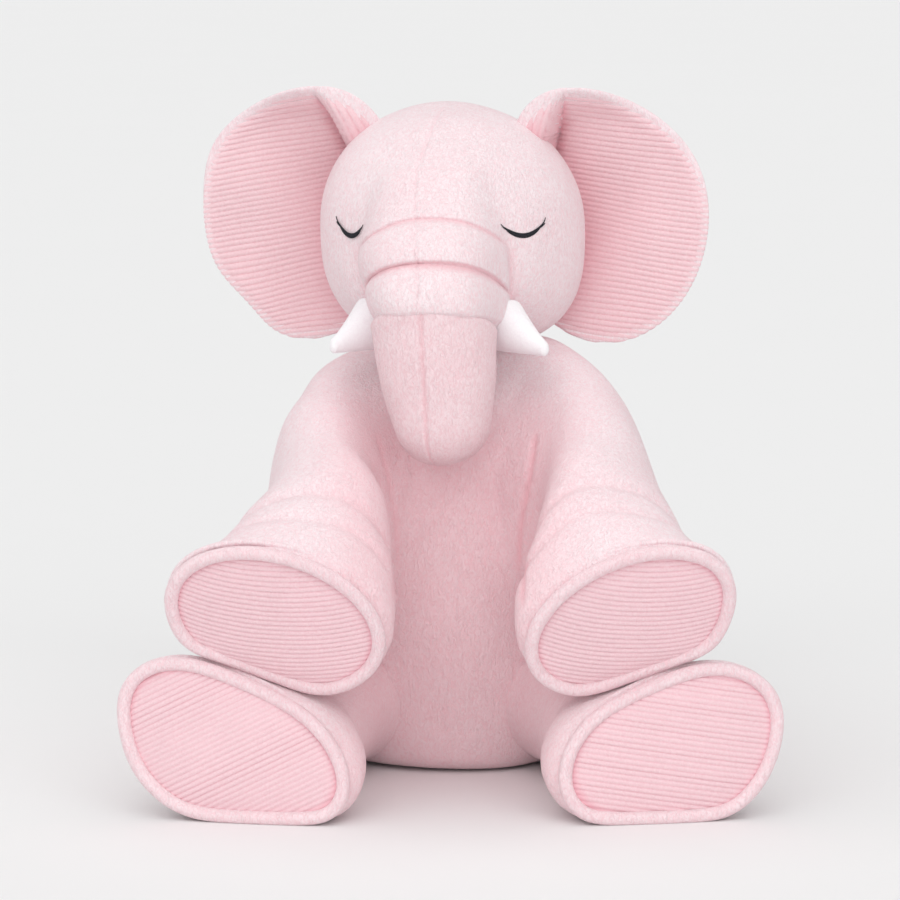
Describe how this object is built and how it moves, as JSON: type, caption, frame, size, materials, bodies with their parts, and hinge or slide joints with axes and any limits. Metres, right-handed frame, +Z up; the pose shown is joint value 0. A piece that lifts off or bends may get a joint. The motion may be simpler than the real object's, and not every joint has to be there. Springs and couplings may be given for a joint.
{
  "type": "stuffed elephant",
  "caption": "Seated pink plush elephant with ribbed ears and soles, a pleated trunk that hangs over the chest, and sewn limbs that rest on each other.",
  "frame": {"origin": "on the floor plane under the seat, at the middle of the torso's flat bottom", "axes": "+Z up, the toy faces -Y, its left side at +X"},
  "size_m": [0.3721, 0.3542, 0.3995],
  "materials": {
    "pink_plush": "short pile, matt",
    "pink_corduroy": "ribbed, matt",
    "white_velboa": "short smooth pile",
    "charcoal_thread": "satin stitch",
    "polyester_filling": "loose fibre",
    "bead_pouch_cotton": "plain woven"
  },
  "bodies": {
    "torso": {"torso_skin": "pink_plush", "torso_stuffing": "polyester_filling", "bead_pouch": "bead_pouch_cotton"},
    "head": {"head_skin": "pink_plush", "head_stuffing": "polyester_filling", "muzzle_skin": "pink_plush", "muzzle_stuffing": "polyester_filling", "left_tusk_cover": "white_velboa", "left_tusk_stuffing": "polyester_filling", "left_eye_stitching": "charcoal_thread", "right_tusk_cover": "white_velboa", "right_tusk_stuffing": "polyester_filling", "right_eye_stitching": "charcoal_thread"},
    "trunk": {"trunk_skin": "pink_plush", "trunk_stuffing": "polyester_filling"},
    "left_ear": {"left_ear_front": "pink_corduroy", "left_ear_batting": "polyester_filling", "left_ear_back": "pink_plush"},
    "left_arm": {"left_arm_sleeve": "pink_plush", "left_arm_stuffing": "polyester_filling", "left_arm_welt": "pink_plush", "left_arm_pad": "pink_corduroy"},
    "left_leg": {"left_leg_sleeve": "pink_plush", "left_leg_stuffing": "polyester_filling", "left_leg_welt": "pink_plush", "left_leg_pad": "pink_corduroy"},
    "right_ear": {"right_ear_front": "pink_corduroy", "right_ear_batting": "polyester_filling", "right_ear_back": "pink_plush"},
    "right_arm": {"right_arm_sleeve": "pink_plush", "right_arm_stuffing": "polyester_filling", "right_arm_welt": "pink_plush", "right_arm_pad": "pink_corduroy"},
    "right_leg": {"right_leg_sleeve": "pink_plush", "right_leg_stuffing": "polyester_filling", "right_leg_welt": "pink_plush", "right_leg_pad": "pink_corduroy"},
    "tail": {"tail_skin": "pink_plush", "tail_stuffing": "polyester_filling", "tail_tuft": "pink_plush"}
  },
  "joints": [
    {"name": "head_turn", "type": "hinge", "parent": "torso", "child": "head", "pos_m": [0, -0.014, 0.2524], "axis": [0, 0, 1], "range_deg": [-10, 10], "stiffness_Nm_per_rad": 0.6},
    {"name": "trunk_lift", "type": "hinge", "parent": "head", "child": "trunk", "pos_m": [-0.0142, -0.13859, 0.2759], "axis": [-0.9936, 0.1132, 0], "range_deg": [0, 25], "stiffness_Nm_per_rad": 0.1},
    {"name": "left_ear_flap", "type": "hinge", "parent": "head", "child": "left_ear", "pos_m": [0.08914, -0.01208, 0.3169], "axis": [0, 0, 1], "range_deg": [-20, 12], "stiffness_Nm_per_rad": 0.05},
    {"name": "right_ear_flap", "type": "hinge", "parent": "head", "child": "right_ear", "pos_m": [-0.08643, 0.00792, 0.3169], "axis": [0, 0, -1], "range_deg": [-20, 12], "stiffness_Nm_per_rad": 0.05},
    {"name": "left_arm_lift", "type": "hinge", "parent": "torso", "child": "left_arm", "pos_m": [0.05205, -0.03321, 0.186], "axis": [-0.848, 0.5299, 0], "range_deg": [0, 18], "stiffness_Nm_per_rad": 0.3},
    {"name": "right_arm_lift", "type": "hinge", "parent": "torso", "child": "right_arm", "pos_m": [-0.05205, -0.03321, 0.186], "axis": [-0.848, -0.5299, 0], "range_deg": [0, 18], "stiffness_Nm_per_rad": 0.3},
    {"name": "left_leg_splay", "type": "hinge", "parent": "torso", "child": "left_leg", "pos_m": [0.09908, -0.01927, 0.042], "axis": [0, 0, 1], "range_deg": [0, 20], "stiffness_Nm_per_rad": 0.4},
    {"name": "right_leg_splay", "type": "hinge", "parent": "torso", "child": "right_leg", "pos_m": [-0.09908, -0.01927, 0.042], "axis": [0, 0, -1], "range_deg": [0, 20], "stiffness_Nm_per_rad": 0.4},
    {"name": "tail_swing", "type": "hinge", "parent": "torso", "child": "tail", "pos_m": [0, 0.09477, 0.082], "axis": [0, 1, 0], "range_deg": [-25, 25], "stiffness_Nm_per_rad": 0.02}
  ]
}
